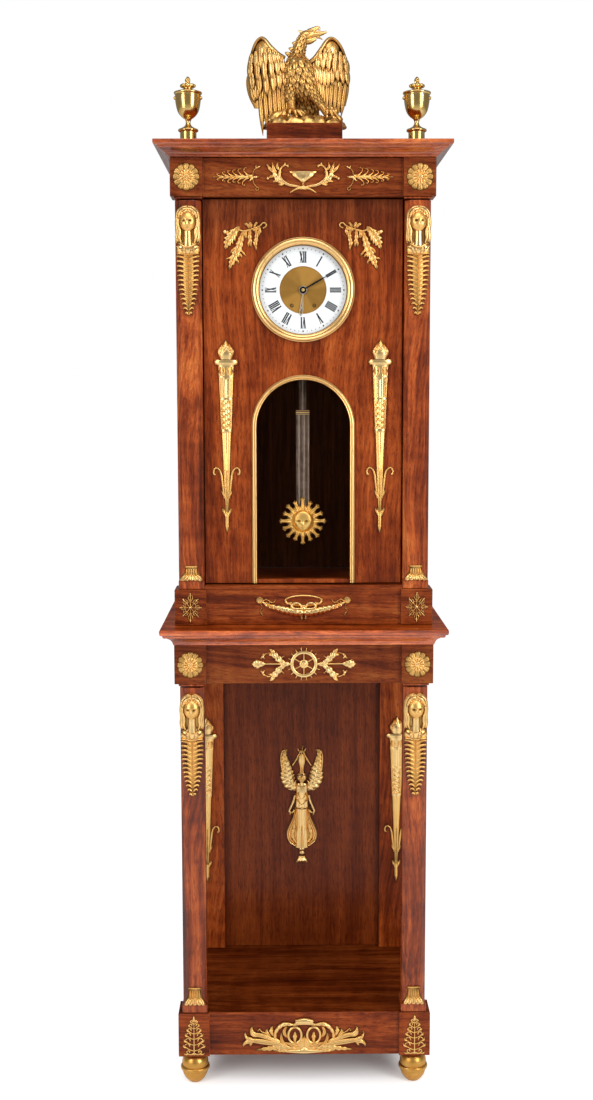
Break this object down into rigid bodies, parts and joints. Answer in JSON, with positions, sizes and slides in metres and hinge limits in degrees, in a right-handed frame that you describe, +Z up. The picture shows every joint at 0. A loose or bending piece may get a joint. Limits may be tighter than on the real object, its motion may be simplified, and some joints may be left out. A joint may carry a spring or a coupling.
{
  "type": "longcase clock",
  "caption": "Tall mahogany longcase clock on an open columned stand, with gilt mounts, a glazed door, a round dial, a pendulum with a sunburst bob and an eagle on top.",
  "frame": {"origin": "on the floor, under the middle of the whole clock's width and depth", "axes": "+Z up, -Y towards the viewer in front of the dial, +X to the viewer's right"},
  "size_m": [0.6428, 0.47, 2.385],
  "materials": {
    "mahogany": "french polished",
    "oak_inside": "oiled",
    "gilt": "fire gilt bronze, matt with burnished lights",
    "brass": "brushed",
    "steel": "satin",
    "blued_steel": "heat blued",
    "enamel": "white enamel on copper, gloss",
    "glass": "clear"
  },
  "bodies": {
    "case": {"base_plinth": "mahogany", "stand_frieze": "mahogany", "stand_top": "mahogany", "case_plinth": "mahogany", "case_frieze": "mahogany", "cornice": "mahogany", "eagle_plinth": "mahogany", "stand_back_panel": "mahogany", "lower_column_left": "mahogany", "upper_column_left": "mahogany", "rear_stile_left": "mahogany", "case_side_left": "mahogany", "lower_column_right": "mahogany", "upper_column_right": "mahogany", "rear_stile_right": "mahogany", "case_side_right": "mahogany", "case_back": "oak_inside", "seat_board": "oak_inside", "eagle": "gilt", "swag_mount": "gilt", "wheel_mount": "gilt", "winged_figure": "gilt", "base_mount": "gilt", "tazza_mount": "gilt", "foot_front_left": "gilt", "foot_back_left": "gilt", "urn_left": "gilt", "caryatid_upper_left": "gilt", "caryatid_lower_left": "gilt", "torch_lower_left": "gilt", "frieze_spray_left": "gilt", "foot_front_right": "gilt", "foot_back_right": "gilt", "urn_right": "gilt", "caryatid_upper_right": "gilt", "caryatid_lower_right": "gilt", "torch_lower_right": "gilt", "frieze_spray_right": "gilt", "dial": "enamel", "movement_front_plate": "brass", "movement_back_plate": "brass", "bell": "brass"},
    "door_leaf": {"door": "mahogany", "door_glass": "glass", "arch_trim": "gilt", "dial_bezel": "gilt", "bezel_glass": "glass", "spandrel_left": "gilt", "spandrel_right": "gilt", "torch_upper_left": "gilt", "torch_upper_right": "gilt"},
    "going_barrel": {"going_barrel": "brass"},
    "striking_barrel": {"striking_barrel": "brass"},
    "minute_hand": {"minute_hand": "blued_steel"},
    "hour_hand": {"hour_hand": "blued_steel"},
    "escape_wheel": {"escape_wheel": "brass"},
    "anchor": {"anchor_crutch": "steel"},
    "pendulum": {"pendulum_rod": "steel", "sun_bob": "gilt"},
    "hammer": {"strike_hammer": "steel"}
  },
  "joints": [
    {"name": "door_hinge", "type": "hinge", "parent": "case", "child": "door_leaf", "pos_m": [0.2155, -0.137, 1.5825], "axis": [0, 0, 1], "range_deg": [0, 75]},
    {"name": "pendulum_swing", "type": "hinge", "parent": "case", "child": "pendulum", "pos_m": [0, -0.035, 1.858], "axis": [0, 1, 0], "range_deg": [-4, 4]},
    {"name": "anchor_rock", "type": "hinge", "parent": "case", "child": "anchor", "pos_m": [0, -0.0795, 1.858], "axis": [0, 1, 0], "range_deg": [-4, 4]},
    {"name": "going_barrel_turn", "type": "hinge", "parent": "case", "child": "going_barrel", "pos_m": [0.0249, -0.0795, 1.7762], "axis": [0, 1, 0], "continuous": true},
    {"name": "striking_barrel_turn", "type": "hinge", "parent": "case", "child": "striking_barrel", "pos_m": [-0.0249, -0.0795, 1.7762], "axis": [0, 1, 0], "continuous": true},
    {"name": "minute_hand_turn", "type": "hinge", "parent": "case", "child": "minute_hand", "pos_m": [0, -0.136, 1.81], "axis": [0, 1, 0], "continuous": true},
    {"name": "hour_hand_turn", "type": "hinge", "parent": "case", "child": "hour_hand", "pos_m": [0, -0.134, 1.81], "axis": [0, 1, 0], "continuous": true},
    {"name": "escape_wheel_turn", "type": "hinge", "parent": "case", "child": "escape_wheel", "pos_m": [0, -0.0625, 1.832], "axis": [0, 1, 0], "continuous": true},
    {"name": "hammer_strike", "type": "hinge", "parent": "case", "child": "hammer", "pos_m": [-0.0442, -0.0795, 1.832], "axis": [0, 1, 0], "range_deg": [-18, 2], "stiffness_Nm_per_rad": 0.02}
  ],
  "couplings": [
    {"joint": "anchor_rock", "follows": "pendulum_swing", "ratio": 1},
    {"joint": "minute_hand_turn", "follows": "going_barrel_turn", "ratio": -7},
    {"joint": "hour_hand_turn", "follows": "going_barrel_turn", "ratio": -0.58333}
  ]
}
